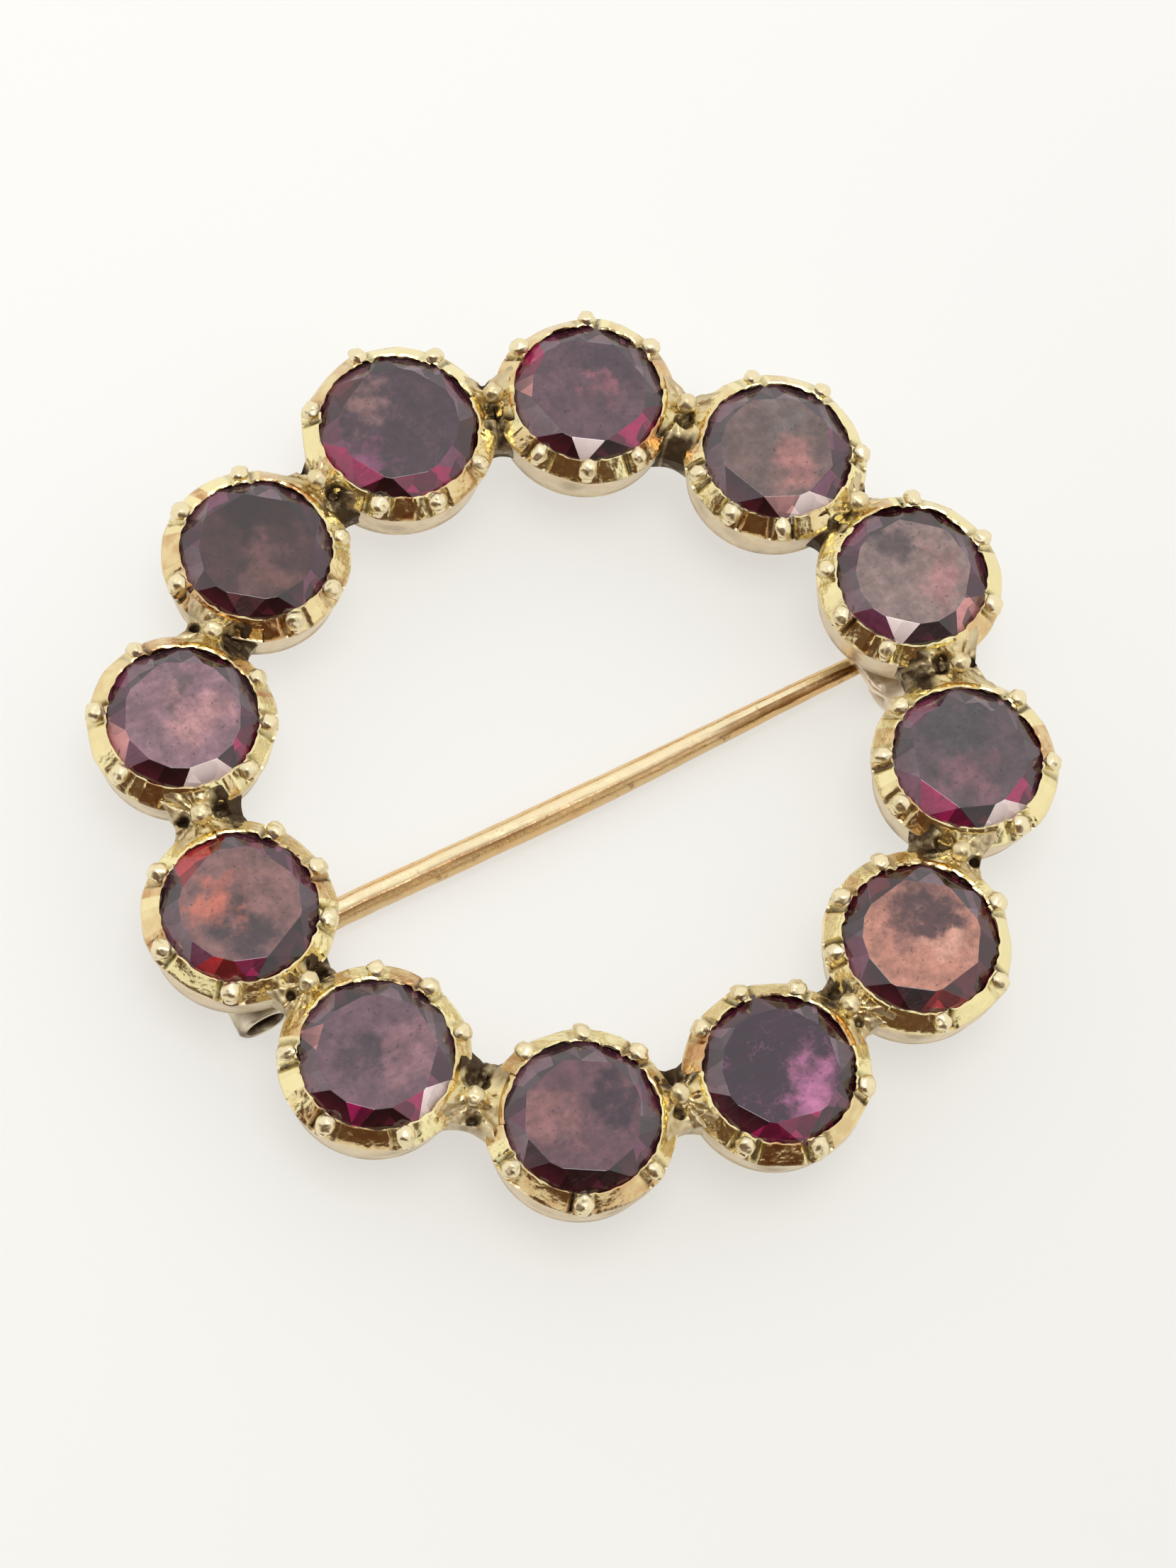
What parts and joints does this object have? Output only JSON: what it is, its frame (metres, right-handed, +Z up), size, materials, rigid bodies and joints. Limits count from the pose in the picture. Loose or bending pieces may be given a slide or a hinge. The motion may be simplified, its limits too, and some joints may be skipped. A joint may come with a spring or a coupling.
{
  "type": "round gem-set brooch",
  "caption": "Round brooch: a ring of flat-cut garnets, each in a closed collet with small claws, and a hinged pin with a hook catch across the back.",
  "frame": {"origin": "middle of the ring on the surface that the brooch lies on, on its back", "axes": "+Z up through the faces of the stones; +X along the pin, from its hinge to its catch"},
  "size_m": [0.028, 0.028, 0.0041],
  "materials": {
    "gold": "bright-cut low-carat yellow gold, tarnished in its hollows",
    "rivet_gold": "worn",
    "pin_gold": "scratched, rosier gold",
    "garnet": "polished and foiled behind"
  },
  "bodies": {
    "brooch": {"setting": "gold", "hinge_rivet": "rivet_gold", "garnet_01": "garnet", "garnet_02": "garnet", "garnet_03": "garnet", "garnet_04": "garnet", "garnet_05": "garnet", "garnet_06": "garnet", "garnet_07": "garnet", "garnet_08": "garnet", "garnet_09": "garnet", "garnet_10": "garnet", "garnet_11": "garnet", "garnet_12": "garnet"},
    "pin": {"pin": "pin_gold"}
  },
  "joints": [
    {"name": "pin_hinge", "type": "hinge", "parent": "brooch", "child": "pin", "pos_m": [-0.0115, -0.00058, 0.0008], "axis": [0, 1, 0], "range_deg": [0, 80]}
  ]
}
